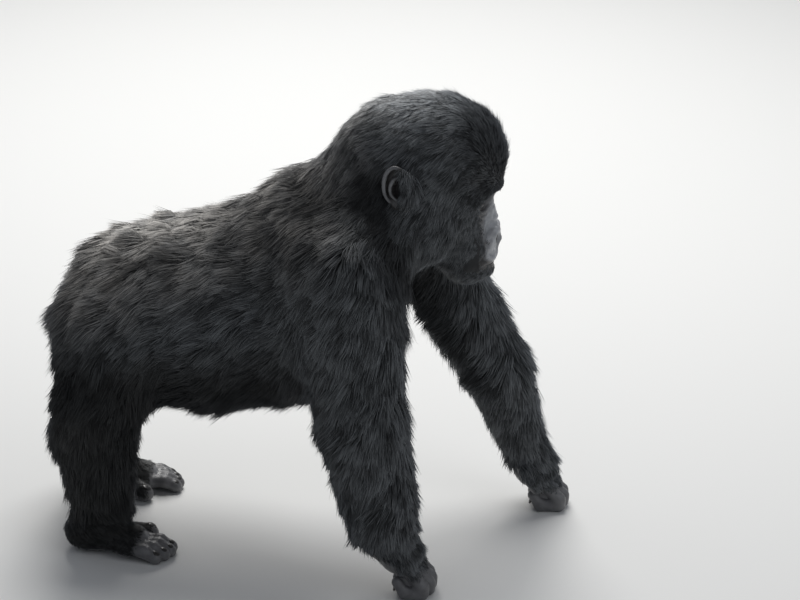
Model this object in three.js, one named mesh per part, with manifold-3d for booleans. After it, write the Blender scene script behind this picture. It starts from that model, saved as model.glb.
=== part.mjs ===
// A young mountain gorilla, about three years old, walking on its knuckles and soles. Life size.
//
// Millimetres, +Z up. The animal faces +X and its left side is +Y. The floor is z = 0.
// The body is one smooth blend of eggs and tapers, which give the outline at the tips of the coat.
// It is surfaced in a few grids, coarse on the body and fine on the face, hands and feet, and
// thin flat cuts part it into the named pieces.
import * as THREE from 'three';
import { MarchingCubes } from 'three/addons/objects/MarchingCubes.js';
import { SimplifyModifier } from 'three/addons/modifiers/SimplifyModifier.js';
import { mergeVertices } from 'three/addons/utils/BufferGeometryUtils.js';
import Module from 'manifold-3d';

const wasm = await Module();
wasm.setup();

// ---------------------------------------------------------------- driving dimensions

const LEFT = 1;
const RIGHT = -1;
const GAP = 0.3; // between two pieces that meet
const PRESS = 1.5; // how far a sole or knuckle would sink, which gives its flat

// how each region is surfaced: the width of the cube that holds it, the size of the cells in
// that cube, and how many triangles the surface is then thinned to
const BODY_GRID = { width: 760, cell: 18, triangles: 1900 };
const HEAD_GRID = { width: 290, cell: 14, triangles: 780 };
const FACE_GRID = { width: 160, cell: 5, triangles: 1400 };
const HAND_GRID = { width: 124, cell: 6, triangles: 460 };
const FOOT_GRID = { width: 166, cell: 6, triangles: 500 };
const EAR_GRID = { width: 60, cell: 3, triangles: 200 };

// the middle of each cube: of the body's and the face's, and above a hand's knuckles or a foot's heel
const BODY_MIDDLE = [245, 0, 300];
const FACE_MIDDLE = [442, 15, 412];
const HAND_MIDDLE = [-6, 0, 50];
const FOOT_MIDDLE = [26, 0, 42];

// joints and girths, with the coat: where, and how far out the hair tips reach
const PELVIS = { at: [16, 0, 292], half: [76, 98, 92] };
const BELLY = { at: [122, 0, 288], half: [128, 124, 126] };
const CHEST = { at: [226, 0, 314], half: [112, 106, 138] };
const WITHERS = { at: [262, 0, 382], half: [84, 104, 80] };
const NECK = { from: [285, 0, 414], to: [345, 3, 440], girth: [80, 80] };

const HEAD_AT = [369, 5, 481];
const HEAD_YAW = THREE.MathUtils.degToRad(9); // the face looks a little to its left
const EYE_AT = [70, 27, -28]; // forward, sideways and up from the head's middle
const EYE_RADIUS = 11.5;
const EAR_AT = [-20, 87, 9];
const EAR_HALF = [16, 8, 26];
const EAR_SPLAY = THREE.MathUtils.degToRad(24); // its rear edge stands away from the head
const MOUTH_UP = -112; // the line between the lips

const ARMS = {
  right: { side: RIGHT, shoulder: [304, -92, 386], elbow: [326, -122, 204], wrist: [356, -139, 76],
    girth: [69, 54, 46], knuckles: [386, -143], turn: 0.05 },
  left: { side: LEFT, shoulder: [350, 88, 380], elbow: [455, 112, 192], wrist: [492, 121, 74],
    girth: [57, 44, 30], knuckles: [515, 123], turn: 0.1 },
};
const LEGS = {
  right: { side: RIGHT, hip: [8, -50, 262], knee: [-2, -84, 196], calf: [-24, -87, 152],
    ankle: [-1, -90, 62], girth: [76, 53, 42, 37], heel: [-6, -91], turn: -0.1 },
  left: { side: LEFT, hip: [0, 50, 262], knee: [-24, 80, 194], calf: [-46, 82, 152],
    ankle: [-34, 84, 62], girth: [70, 46, 38, 34], heel: [-38, 85], turn: 0.12 },
};

// the blocks that take the limbs off the trunk: inner rear lower corner, size, lean and swing
const ARM_BLOCKS = {
  right: { corner: [222, 88, 60], size: [260, 150, 400], lean: 0.12, swing: 0.02 },
  left: { corner: [238, 84, 60], size: [330, 150, 400], lean: 0.12, swing: 0.02 },
};
const LEG_BLOCK = { corner: [-160, 16, 20], size: [234, 190, 262], lean: -0.16, swing: 0 };

// the flat cuts across what is left: a point on each, and the way that it faces
const NECK_CUT = [[262, 0, 420], [1, 0, 0.55]];
const CHEST_CUT = [[196, 0, 330], [1, 0, 0]];
const BELLY_CUT = [[78, 0, 300], [1, 0, 0]];
const UPWARD = [0, 0, 1];
const DOWNWARD = [0, 0, -1];

// the block of the head that holds the bare face, in the head's own frame
const FACE_BLOCK = { middle: [96, 0, -82], size: [80, 84, 160] };

const HEAD_CLEARANCE = 1.005; // how much the head is scaled up to cut the neck clear of it
const EAR_CLEARANCE = 1.04; // the same for an ear and the head

const COAT = { color: 0x17171a, roughness: 0.85, metalness: 0 };
const BARE_SKIN = { color: 0x2a2b2f, roughness: 0.5, metalness: 0 };
const EYEBALL = { color: 0x24150d, roughness: 0.08, metalness: 0 };

// ---------------------------------------------------------------- solid fields
// A field gives the distance from a point to a surface, less than zero inside.

/** A rounded taper from one point to another. */
function taper(from, startRadius, to, endRadius) {
  const start = new THREE.Vector3(...from);
  const along = new THREE.Vector3(...to).sub(start);
  const offset = new THREE.Vector3();
  return (p) => {
    offset.subVectors(p, start);
    const t = THREE.MathUtils.clamp(offset.dot(along) / along.lengthSq(), 0, 1);
    return offset.addScaledVector(along, -t).length() - THREE.MathUtils.lerp(startRadius, endRadius, t);
  };
}

/** An egg with its own half-size along each axis. */
function egg(at, half) {
  const middle = new THREE.Vector3(...at);
  const size = new THREE.Vector3(...half);
  const scaled = new THREE.Vector3();
  return (p) => {
    scaled.subVectors(p, middle).divide(size);
    const reach = scaled.length();
    const slope = Math.max(scaled.divide(size).length(), 1e-9);
    return (reach * (reach - 1)) / slope;
  };
}

/** Fields joined with a fillet of about the size given. */
function blend(fillet, ...fields) {
  return (p) => fields.map((field) => field(p)).reduce((a, b) => {
    const near = Math.max(fillet - Math.abs(a - b), 0) / fillet;
    return Math.min(a, b) - (near * near * fillet) / 4;
  });
}

/** One field hollowed by others, with a fillet round each hollow. */
function carve(fillet, field, ...tools) {
  const inverted = [(p) => -field(p), ...tools];
  const joined = blend(fillet, ...inverted);
  return (p) => -joined(p);
}

/** A field given in a frame of its own, at a place and yaw on the body. */
function placed(field, at, yaw) {
  const toLocal = frameOf(at, yaw).invert();
  const local = new THREE.Vector3();
  return (p) => field(local.copy(p).applyMatrix4(toLocal));
}

/** The matrix of a frame at a place, turned to the animal's left by the yaw. */
function frameOf(at, yaw) {
  return new THREE.Matrix4().makeRotationZ(yaw).setPosition(...at);
}

// ---------------------------------------------------------------- the body's fields

const trunkField = blend(44,
  egg(PELVIS.at, PELVIS.half),
  egg(BELLY.at, BELLY.half),
  egg(CHEST.at, CHEST.half),
  egg(WITHERS.at, WITHERS.half),
  taper(NECK.from, NECK.girth[0], NECK.to, NECK.girth[1]));

function armField({ shoulder, elbow, wrist, girth }) {
  return blend(16,
    taper(shoulder, girth[0], elbow, girth[1]),
    taper(elbow, girth[1], wrist, girth[2]));
}

function legField({ hip, knee, calf, ankle, girth }) {
  return blend(18,
    taper(hip, girth[0], knee, girth[1]),
    taper(knee, girth[1], ankle, girth[3]),
    taper(calf, girth[2], ankle, girth[3]));
}

/** The shaggy crown, nape and cheeks, in the head's own frame. */
const crownField = blend(26,
  egg([0, 0, 20], [92, 88, 76]),
  egg([40, 0, 28], [67, 76, 58]),
  egg([60, 0, 12], [50, 58, 34]),
  egg([8, 0, -40], [68, 92, 78]),
  egg([-58, 0, -22], [57, 72, 82]));

/** One side of the brow ridge, curving back from its middle. */
function browField(side) {
  const middle = [88, 0, -11];
  const peak = [83, side * 30, -12];
  const end = [70, side * 45, -20];
  return blend(4, taper(middle, 11.5, peak, 11), taper(peak, 11, end, 8));
}

/** The bare mask under the crown: brow ridge, nose bridge, muzzle and chin. */
const maskField = blend(14,
  egg([44, 0, -52], [43, 50, 74]),
  browField(LEFT),
  browField(RIGHT),
  taper([80, 0, -30], 9, [88, 0, -62], 11),
  egg([60, 0, -92], [37, 43, 32]),
  egg([62, 0, -118], [31, 36, 24]));

/** The whole head: crown and mask, hollowed by the sockets, with a broad nose and full lips. */
const headField = (() => {
  const sides = [LEFT, RIGHT];
  const sockets = sides.map((side) => egg([91, side * (EYE_AT[1] + 1), EYE_AT[2] - 1], [16, 18, 11]));
  const nose = blend(7,
    egg([88, 0, -77], [12, 11, 12]),
    ...sides.map((side) => egg([84, side * 15, -84], [15.5, 13, 12])));
  const lips = blend(5, egg([79, 0, -105], [20, 32, 11]), egg([76, 0, -124], [19, 28, 9]));
  const nostrils = sides.map((side) => egg([100, side * 12.5, -84], [7, 6, 6]));
  const hollowed = carve(7, blend(12, crownField, maskField), ...sockets);
  return placed(carve(3, blend(8, hollowed, nose, lips), ...nostrils), HEAD_AT, HEAD_YAW);
})();

/** A hand resting on its knuckles, with its own origin on the floor under them. */
function handField({ side, wrist, girth, knuckles, turn }) {
  const toLocal = frameOf([...knuckles, 0], turn).invert();
  const wristHere = new THREE.Vector3(...wrist).applyMatrix4(toLocal).toArray();
  const palm = blend(14,
    taper(wristHere, girth[2] * 0.86, [-14, 0, 52], 27),
    egg([-8, 0, 46], [20, 32, 20]));
  const fingers = [-1.5, -0.5, 0.5, 1.5].map((place, i) => {
    const y = side * place * 14.5;
    const reach = [20, 24, 23, 17][i];
    return blend(4,
      taper([-2, y * 0.9, 42], 10, [reach, y, 15], 9),
      taper([reach, y, 9 - PRESS], 9, [-3, y, 9 - PRESS], 8.4),
      taper([-3, y, 9 - PRESS], 8.2, [-12, y, 21], 7.5));
  });
  const thumb = taper([-24, -side * 28, 58], 10, [-8, -side * 33, 34], 7);
  return placed(blend(5, palm, thumb, ...fingers), [...knuckles, 0], turn);
}

/** A foot flat on its sole, with its own origin on the floor under the ankle. */
function footField({ side, ankle, girth, heel, turn }) {
  const toLocal = frameOf([...heel, 0], turn).invert();
  const ankleHere = new THREE.Vector3(...ankle).applyMatrix4(toLocal).toArray();
  const sole = blend(16,
    taper(ankleHere, girth[3] * 0.92, [-4, 0, 32], 29),
    egg([-18, 0, 22 - PRESS], [25, 23, 22]),
    taper([0, 0, 28], 23, [42, 0, 18 - PRESS], 18),
    egg([46, 0, 14 - PRESS], [24, 31, 14]));
  const toes = [-0.9, -0.1, 0.7, 1.5].map((place, i) => {
    const y = side * place * 14.5;
    const reach = [88, 90, 86, 79][i];
    return blend(4,
      taper([54, y * 0.9, 14], 9.5, [reach - 14, y, 14], 8.4),
      taper([reach - 14, y, 14], 8.4, [reach, y, 8.5 - PRESS], 8.5));
  });
  const bigToe = taper([8, -side * 18, 16], 14, [52, -side * 40, 11 - PRESS], 11);
  return placed(blend(6, sole, bigToe, ...toes), [...heel, 0], turn);
}

/** A small round ear: a thin cup with a rolled rim, in the head's own frame. */
function earField(side) {
  const at = [EAR_AT[0], side * EAR_AT[1], EAR_AT[2]];
  const [length, thick, height] = EAR_HALF;
  const cup = carve(2.5,
    egg([0, 0, 0], [length, thick, height]),
    egg([3, side * thick, 2], [length * 0.6, thick * 0.8, height * 0.6]));
  return placed(placed(cup, at, side * EAR_SPLAY), HEAD_AT, HEAD_YAW);
}

const torsoField = blend(34, trunkField, armField(ARMS.right), armField(ARMS.left),
  legField(LEGS.right), legField(LEGS.left));

// ---------------------------------------------------------------- fields to solids

/** The slope of a field, which points out of the surface. */
function slopeOf(field, p, target) {
  const step = 0.4;
  const probe = p.clone();
  for (const axis of ['x', 'y', 'z']) {
    probe[axis] = p[axis] + step;
    const ahead = field(probe);
    probe[axis] = p[axis] - step;
    target[axis] = (ahead - field(probe)) / (2 * step);
    probe[axis] = p[axis];
  }
  return target;
}

/** A field kept inside a cube about a point, so that its surface is closed. */
function inCube(field, middle, width) {
  return (p) => {
    const out = [p.x - middle.x, p.y - middle.y, p.z - middle.z].map(Math.abs);
    return Math.max(field(p), Math.max(...out) - width / 2);
  };
}

/** The closed triangle mesh of a field's surface inside a cube about a point. */
function surface(wholeField, middle, width, cell) {
  const field = inCube(wholeField, middle, width);
  const size = Math.ceil(width / cell) + 6;
  const half = (size * cell) / 2;
  const cubes = new MarchingCubes(size, new THREE.MeshBasicMaterial(), false, false, 60000);
  cubes.isolation = 0;
  const p = new THREE.Vector3();
  const least = cell * 0.12; // keeps corners off the surface, so that no triangle is a sliver
  for (let i = 0; i < size ** 3; i++) {
    p.set(i % size, Math.floor(i / size) % size, Math.floor(i / size ** 2));
    p.multiplyScalar(cell).addScalar(-half).add(middle);
    const depth = -field(p);
    cubes.field[i] = depth < 0 ? Math.min(depth, -least) : Math.max(depth, least);
  }
  cubes.update();
  const corners = cubes.positionArray.slice(0, cubes.count * 3);
  const raw = new THREE.BufferGeometry();
  raw.setAttribute('position', new THREE.BufferAttribute(corners, 3));
  const mesh = weld(raw);
  mesh.scale(half, half, half);
  mesh.translate(...middle);
  relax(mesh, field, cell);
  return mesh;
}

/** Merges the corners that lie together, wherever they fall between the merge's own steps. */
function weld(geometry, reach = 1e-4) {
  const once = mergeVertices(geometry, reach);
  once.translate(reach / 2, reach / 2, reach / 2);
  const twice = mergeVertices(once, reach);
  return twice.translate(-reach / 2, -reach / 2, -reach / 2);
}

/** Evens out a mesh's triangles and puts its corners back onto the field's surface. */
function relax(mesh, field, cell, rounds = 3) {
  const position = mesh.getAttribute('position');
  const index = mesh.getIndex();
  const at = new THREE.Vector3();
  const other = new THREE.Vector3();
  const slope = new THREE.Vector3();
  for (let round = 0; round < rounds; round++) {
    const sums = Array.from({ length: position.count }, () => ({ sum: new THREE.Vector3(), count: 0 }));
    for (let i = 0; i < index.count; i++) {
      const next = i % 3 === 2 ? i - 2 : i + 1;
      other.fromBufferAttribute(position, index.getX(next));
      sums[index.getX(i)].sum.add(other);
      sums[index.getX(i)].count += 1;
    }
    for (let i = 0; i < position.count; i++) {
      at.fromBufferAttribute(position, i);
      at.lerp(sums[i].sum.divideScalar(sums[i].count), 0.5);
      for (let pull = 0; pull < 2; pull++) {
        slopeOf(field, at, slope);
        const move = -field(at) / Math.max(slope.lengthSq(), 0.2);
        at.addScaledVector(slope, THREE.MathUtils.clamp(move, -cell / 2, cell / 2));
      }
      position.setXYZ(i, at.x, at.y, at.z);
    }
  }
}

/** A solid for cutting and joining, from a closed mesh. */
function solidOf(geometry) {
  const bare = new THREE.BufferGeometry();
  bare.setAttribute('position', geometry.getAttribute('position'));
  if (geometry.getIndex()) bare.setIndex(geometry.getIndex());
  const merged = weld(bare);
  const mesh = new wasm.Mesh({
    numProp: 3,
    vertProperties: new Float32Array(merged.getAttribute('position').array),
    triVerts: new Uint32Array(merged.getIndex().array),
  });
  return new wasm.Manifold(mesh);
}

/** The solid of a field inside a cube about a point, thinned to the grid's count of triangles. */
async function solidField(field, middle, grid) {
  const fine = surface(field, new THREE.Vector3(...middle), grid.width, grid.cell);
  const surplus = fine.getAttribute('position').count - grid.triangles / 2;
  return solidOf(await new SimplifyModifier().modify(fine, surplus));
}

/** The geometry of a solid, flat-shaded. */
function geometryOf(solid) {
  const mesh = solid.getMesh();
  const geometry = new THREE.BufferGeometry();
  geometry.setAttribute('position', new THREE.BufferAttribute(new Float32Array(mesh.vertProperties), 3));
  geometry.setIndex(new THREE.BufferAttribute(new Uint32Array(mesh.triVerts), 1));
  return geometry;
}

/** A solid scaled up a little about a point, to cut a neighbour clear of it. */
function swollen(solid, about, factor) {
  const away = about.map((x) => -x);
  return solid.translate(away).scale(factor).translate(about);
}

/** The largest piece of a solid, without the crumbs that a grazing cut leaves. */
function largest(solid) {
  return solid.decompose().sort((a, b) => b.volume() - a.volume())[0];
}

/** The two sides of a flat cut through a point: what lies ahead of it, then what lies behind it. */
function halves(solid, point, normal) {
  const unit = new THREE.Vector3(...normal).normalize();
  const offset = unit.dot(new THREE.Vector3(...point));
  const ahead = solid.trimByPlane(unit.toArray(), offset + GAP / 2);
  const behind = solid.trimByPlane(unit.clone().negate().toArray(), -offset + GAP / 2);
  return [ahead, behind];
}

/** A block on one side, grown all round by a clearance. */
function block({ corner, size, lean, swing }, side, grow = 0) {
  const box = new THREE.BoxGeometry(size[0] + 2 * grow, size[1] + 2 * grow, size[2] + 2 * grow);
  box.translate(size[0] / 2, (side * size[1]) / 2, size[2] / 2);
  box.applyMatrix4(new THREE.Matrix4().makeRotationY(swing));
  box.applyMatrix4(new THREE.Matrix4().makeRotationX(side * lean));
  box.translate(corner[0], side * corner[1], corner[2]);
  return solidOf(box);
}

/** Takes the part inside a block off a solid: the part, then the rest. */
function takeOff(solid, shape, side) {
  return [solid.intersect(block(shape, side)), solid.subtract(block(shape, side, GAP))];
}

/** The direction from one joint to the next. */
function toward(from, to) {
  return new THREE.Vector3(...to).sub(new THREE.Vector3(...from)).toArray();
}

/** The middle of the cube round a hand or a foot, from its origin on the floor. */
function above([x, y], [ahead, left, up]) {
  return [x + ahead, y + left, up];
}

// ---------------------------------------------------------------- pieces

const gorilla = new THREE.Group();

function addPiece(name, solid, look) {
  const mesh = new THREE.Mesh(geometryOf(largest(solid)), new THREE.MeshStandardMaterial(look));
  mesh.name = name;
  gorilla.add(mesh);
}

const FLOOR = [UPWARD, 0];

/** Parts an arm at the elbow and the wrist, and adds its hand. */
async function addArm(name, arm, whole) {
  const { elbow, wrist, shoulder, knuckles } = arm;
  const bend = new THREE.Vector3(...toward(shoulder, elbow)).normalize()
    .add(new THREE.Vector3(...toward(elbow, wrist)).normalize()).toArray();
  const [lower, upperArm] = halves(whole, elbow, bend);
  const [, forearm] = halves(lower, wrist, toward(elbow, wrist));
  const handWhole = await solidField(handField(arm), above(knuckles, HAND_MIDDLE), HAND_GRID);
  const [handCut] = halves(handWhole, wrist, toward(elbow, wrist));
  addPiece(`upper_arm_${name}`, upperArm, COAT);
  addPiece(`forearm_${name}`, forearm, COAT);
  addPiece(`hand_${name}`, handCut.trimByPlane(...FLOOR), BARE_SKIN);
}

/** Parts a leg at the knee and the ankle, and adds its foot. */
async function addLeg(name, leg, whole) {
  const { knee, ankle, heel } = leg;
  const [lower, thigh] = halves(whole, knee, DOWNWARD);
  const [, shin] = halves(lower, ankle, DOWNWARD);
  const footWhole = await solidField(footField(leg), above(heel, FOOT_MIDDLE), FOOT_GRID);
  const [footCut] = halves(footWhole, ankle, DOWNWARD);
  addPiece(`thigh_${name}`, thigh, COAT);
  addPiece(`shin_${name}`, shin, COAT);
  addPiece(`foot_${name}`, footCut.trimByPlane(...FLOOR), BARE_SKIN);
}

/** A solid of the head, moved from the head's own frame onto the body. */
function onHead(solid) {
  return solid.transform(frameOf(HEAD_AT, HEAD_YAW).toArray());
}

/** The face's block in the body's frame, grown all round by a clearance. */
function faceBlock(grow) {
  const box = new THREE.BoxGeometry(...FACE_BLOCK.size.map((width) => width + 2 * grow));
  box.translate(...FACE_BLOCK.middle);
  return onHead(solidOf(box));
}

/** An eyeball of the radius given, in the body's frame. */
function eyeball(side, radius) {
  const ball = new THREE.SphereGeometry(radius, 12, 8);
  ball.translate(EYE_AT[0], side * EYE_AT[1], EYE_AT[2]);
  return onHead(solidOf(ball));
}

const wholeHead = await solidField(headField, HEAD_AT, HEAD_GRID);
const wholeBody = await solidField(torsoField, BODY_MIDDLE, BODY_GRID);

let trunk = wholeBody.subtract(swollen(wholeHead, HEAD_AT, HEAD_CLEARANCE));
let limb;
[limb, trunk] = takeOff(trunk, ARM_BLOCKS.right, RIGHT);
await addArm('R', ARMS.right, limb);
[limb, trunk] = takeOff(trunk, ARM_BLOCKS.left, LEFT);
await addArm('L', ARMS.left, limb);
[limb, trunk] = takeOff(trunk, LEG_BLOCK, RIGHT);
await addLeg('R', LEGS.right, limb);
[limb, trunk] = takeOff(trunk, LEG_BLOCK, LEFT);
await addLeg('L', LEGS.left, limb);

const [neck, torso] = halves(trunk, ...NECK_CUT);
const [chest, rear] = halves(torso, ...CHEST_CUT);
const [belly, pelvis] = halves(rear, ...BELLY_CUT);
addPiece('neck', neck, COAT);
addPiece('chest', chest, COAT);
addPiece('belly', belly, COAT);
addPiece('pelvis', pelvis, COAT);

let head = wholeHead.subtract(faceBlock(GAP));
const fineFace = await solidField(headField, FACE_MIDDLE, FACE_GRID);
let face = fineFace.intersect(faceBlock(0));
for (const [letter, side] of [['R', RIGHT], ['L', LEFT]]) {
  const earMiddle = new THREE.Vector3(EAR_AT[0], side * EAR_AT[1], EAR_AT[2])
    .applyMatrix4(frameOf(HEAD_AT, HEAD_YAW)).toArray();
  const ear = await solidField(earField(side), earMiddle, EAR_GRID);
  addPiece(`ear_${letter}`, ear, BARE_SKIN);
  head = head.subtract(swollen(ear.hull(), earMiddle, EAR_CLEARANCE));
  addPiece(`eye_${letter}`, eyeball(side, EYE_RADIUS), EYEBALL);
  face = face.subtract(eyeball(side, EYE_RADIUS + GAP));
}
const mouth = new THREE.Vector3(0, 0, MOUTH_UP).applyMatrix4(frameOf(HEAD_AT, HEAD_YAW)).toArray();
const [upperFace, jaw] = halves(face, mouth, UPWARD);
addPiece('head', head, COAT);
addPiece('face', upperFace, BARE_SKIN);
addPiece('lower_jaw', jaw, BARE_SKIN);

// the origin is on the floor, under the middle of the animal's own box
const box = new THREE.Box3().setFromObject(gorilla);
const middle = box.getCenter(new THREE.Vector3());
gorilla.position.set(-middle.x, -middle.y, -box.min.z);

export default gorilla;
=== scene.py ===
"""The looks of a young mountain gorilla: one skin over its solids, a coat of solid tufts, eyes and nails.

Lengths are in millimetres in the solids' own modelling frame, called the body frame here, until a mesh is
made, which is in metres. The animal faces +X, its left is +Y and +Z is up.
"""

import math

import bmesh
import bpy
import numpy as np
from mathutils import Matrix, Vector, kdtree
from mathutils.bvhtree import BVHTree


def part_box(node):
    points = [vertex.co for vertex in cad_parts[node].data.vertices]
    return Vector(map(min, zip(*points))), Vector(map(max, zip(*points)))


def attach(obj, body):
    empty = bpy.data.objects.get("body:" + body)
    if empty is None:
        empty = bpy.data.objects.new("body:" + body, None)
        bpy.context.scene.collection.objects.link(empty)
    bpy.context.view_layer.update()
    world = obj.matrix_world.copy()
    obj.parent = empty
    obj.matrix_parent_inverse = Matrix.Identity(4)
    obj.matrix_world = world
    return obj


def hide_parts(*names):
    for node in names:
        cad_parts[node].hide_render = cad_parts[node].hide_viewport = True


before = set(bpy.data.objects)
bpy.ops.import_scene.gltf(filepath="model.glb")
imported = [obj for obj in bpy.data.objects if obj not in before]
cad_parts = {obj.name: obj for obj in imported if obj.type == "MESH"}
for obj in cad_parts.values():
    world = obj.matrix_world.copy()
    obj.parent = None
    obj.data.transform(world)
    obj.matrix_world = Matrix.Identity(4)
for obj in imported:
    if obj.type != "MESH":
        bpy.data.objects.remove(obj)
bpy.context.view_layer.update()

# ---------------- sizes shared with the solids

HEAD_AT = np.array((369.0, 5.0, 481.0))
EYE_AT = np.array((70.0, 27.0, -28.0))  # forward, left and up from the head's middle
EYE_RADIUS = 11.5
EAR_AT = np.array((-20.0, 87.0, 9.0))
EAR_SPLAY = math.radians(24)
PRESS = 1.5  # how far the knuckles and soles are pressed against the floor

# each hand and foot: the place on the floor where its own frame starts, how far that frame turns to the
# left, and the middle and girth of the limb that comes into it
HANDS = (dict(node="hand_R", side=-1, at=(386, -143, 0), turn=0.05, joint=(354, -139, 76), girth=45),
         dict(node="hand_L", side=1, at=(515, 123, 0), turn=0.1, joint=(492, 121, 74), girth=30))
FEET = (dict(node="foot_R", side=-1, at=(-6, -91, 0), turn=-0.1, joint=(-1, -90, 62), girth=37),
        dict(node="foot_L", side=1, at=(-38, 85, 0), turn=0.12, joint=(-34, 84, 62), girth=34))
SIDES = (1, -1)

VOXEL = 4.8
rng = np.random.default_rng(20)
TUFTS = 246000

# ---------------- frames


def unit(v):
    return v / np.maximum(np.linalg.norm(v, axis=-1, keepdims=True), 1e-12)


def middle_of(node):
    low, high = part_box(node)
    return np.array((low + high) / 2)


eyes_at = {letter: middle_of(f"eye_{letter}") for letter in "RL"}
UP = np.array((0.0, 0.0, 1.0))
LEFT = unit((eyes_at["L"] - eyes_at["R"]) * (1, 1, 0))
FORWARD = np.cross(LEFT, UP)
HEAD_AXES = np.stack((FORWARD, LEFT, UP))
between_eyes = (eyes_at["L"] + eyes_at["R"]) / 2
head_origin = between_eyes - (FORWARD * EYE_AT[0] + UP * EYE_AT[2]) / 1000
SHIFT = head_origin - HEAD_AT / 1000


def to_body(metres):
    return (np.asarray(metres, float) - SHIFT) * 1000


def to_metres(p):
    return np.asarray(p, float) / 1000 + SHIFT


def to_head(p):
    return (p - HEAD_AT) @ HEAD_AXES.T


def from_head(q):
    return q @ HEAD_AXES + HEAD_AT


def turned(p, at, yaw):
    """Points in a frame with its origin at a place and turned to the left by the yaw."""
    c, s = math.cos(yaw), math.sin(yaw)
    q = p - np.asarray(at, float)
    return np.stack((q[:, 0] * c + q[:, 1] * s, -q[:, 0] * s + q[:, 1] * c, q[:, 2]), axis=1)


def into(p, limb):
    """Points of the body in the frame of a hand or foot."""
    return turned(p, limb["at"], limb["turn"])


def out_of(h, limb):
    """Points of the body from the frame of a hand or foot."""
    return turned(h, (0, 0, 0), -limb["turn"]) + limb["at"]


def placed(name, data):
    """A new object in the scene."""
    obj = bpy.data.objects.new(name, data)
    bpy.context.scene.collection.objects.link(obj)
    return obj


def from_bmesh(name, bm, look):
    """A new object made from a bmesh, which is used up."""
    mesh = bpy.data.meshes.new(name)
    bm.to_mesh(mesh)
    bm.free()
    mesh.materials.append(look)
    return placed(name, mesh)


# ---------------- solid fields, less than zero inside


def length(v):
    return np.sqrt(np.einsum("ij,ij->i", v, v))


def egg(p, at, half):
    q = (p - np.asarray(at, float)) / np.asarray(half, float)
    reach = length(q)
    return reach * (reach - 1) / np.maximum(length(q / np.asarray(half, float)), 1e-9)


def taper(p, start, start_radius, end, end_radius):
    start = np.asarray(start, float)
    along = np.asarray(end, float) - start
    q = p - start
    t = np.clip(q @ along / (along @ along), 0, 1)
    return length(q - t[:, None] * along) - (start_radius + t * (end_radius - start_radius))


def blend(fillet, first, *others):
    for other in others:
        near = np.maximum(fillet - np.abs(first - other), 0) / fillet
        first = np.minimum(first, other) - near * near * fillet / 4
    return first


def carve(fillet, field, *tools):
    return -blend(fillet, -field, *tools)


def path(p, points, radii):
    """A rounded cord through points, with a radius at each."""
    spans = zip(points[:-1], radii[:-1], points[1:], radii[1:])
    return np.minimum.reduce([taper(p, a, ra, b, rb) for a, ra, b, rb in spans])


def curved(points, radii, fine=4):
    """A smooth line through points, in short straight pieces, with a radius at each end of them."""
    rows = np.column_stack((points, radii)).astype(float)
    rows = np.vstack((2 * rows[0] - rows[1], rows, 2 * rows[-1] - rows[-2]))
    t = (np.arange(fine) / fine)[:, None]
    made = []
    for a, b, c, d in zip(rows[:-3], rows[1:-2], rows[2:-1], rows[3:]):
        made.append(b + 0.5 * t * (c - a + t * (2 * a - 5 * b + 4 * c - d + t * (3 * (b - c) + d - a))))
    made = np.vstack((*made, rows[-2]))
    return made[:, :3], made[:, 3]


def mirrored(q, side):
    """Points with their sideways part counted toward a side."""
    flipped = q.copy()
    flipped[:, 1] *= side
    return flipped


def both_sides(q):
    """Points with the left and the right counted as one side."""
    return np.stack((q[:, 0], np.abs(q[:, 1]), q[:, 2]), axis=1)


def off_line(at, line):
    """How far points of a plane are from a line of straight pieces."""
    away = np.full(len(at), 1e9)
    line = np.array(line, float)
    for a, b in zip(line[:-1], line[1:]):
        t = np.clip((at - a) @ (b - a) / ((b - a) @ (b - a)), 0, 1)
        away = np.minimum(away, length(at - a - t[:, None] * (b - a)))
    return away


def fade(low, high, x):
    t = np.clip((x - low) / (high - low), 0, 1)
    return t * t * (3 - 2 * t)


def bell(away, wide):
    return np.exp(-((away / wide) ** 2))


# ---------------- the head, the ears, the hands and the feet

HEAD_NODES = ("head", "face", "lower_jaw")
HEAD_DEPTH = 11  # how deep the head's skin lies under the tips of its coat
MASK_BACK = 60  # the bare mask is in front of this

# the edge of the bare mask, sideways and up, from the brow's middle round to the chin
MASK_EDGE = ((0, -18), (14, -16), (29, -15), (40, -21), (44, -32), (42, -46), (39, -62), (38, -78), (39, -94),
             (41, -104), (38, -115), (27, -121), (12, -124), (0, -125))


def from_mask(q):
    """How far each point of the head lies outside the bare mask's edge, less than zero inside it."""
    at = both_sides(q)[:, 1:]
    inside = np.zeros(len(q), bool)
    for a, b in zip(MASK_EDGE[:-1], MASK_EDGE[1:]):
        spans = (at[:, 1] <= a[1]) != (at[:, 1] <= b[1])
        edge = a[0] + (at[:, 1] - a[1]) / (b[1] - a[1] + 1e-9) * (b[0] - a[0])
        inside ^= spans & (at[:, 0] < edge)
    away = off_line(at, MASK_EDGE)
    return np.where(inside, -away, away) + np.maximum(0, MASK_BACK - q[:, 0])


def coat_share(q):
    """The share of its full depth that the head's coat has: none on the bare mask."""
    return fade(-4, 34, from_mask(q))


CROWN = (((0, 0, 20), (92, 88, 76)), ((40, 0, 28), (67, 76, 58)), ((60, 0, 12), (50, 58, 34)),
         ((8, 0, -40), (68, 92, 78)), ((-58, 0, -22), (57, 72, 82)))  # the middles and half sizes of eggs


def crown_field(q):
    return blend(26, *[egg(q, middle, half) for middle, half in CROWN])


BROW = [(88, 0, -11), (83, 30, -12), (70, 45, -20)], [11.5, 11, 8]


def mask_field(q):
    return blend(
        14, egg(q, (44, 0, -52), (43, 50, 74)),
        *[path(mirrored(q, side), *BROW) for side in SIDES],
        taper(q, (80, 0, -30), 9, (88, 0, -62), 11),
        egg(q, (60, 0, -92), (37, 43, 32)),
        egg(q, (62, 0, -118), (31, 36, 24)))


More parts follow.
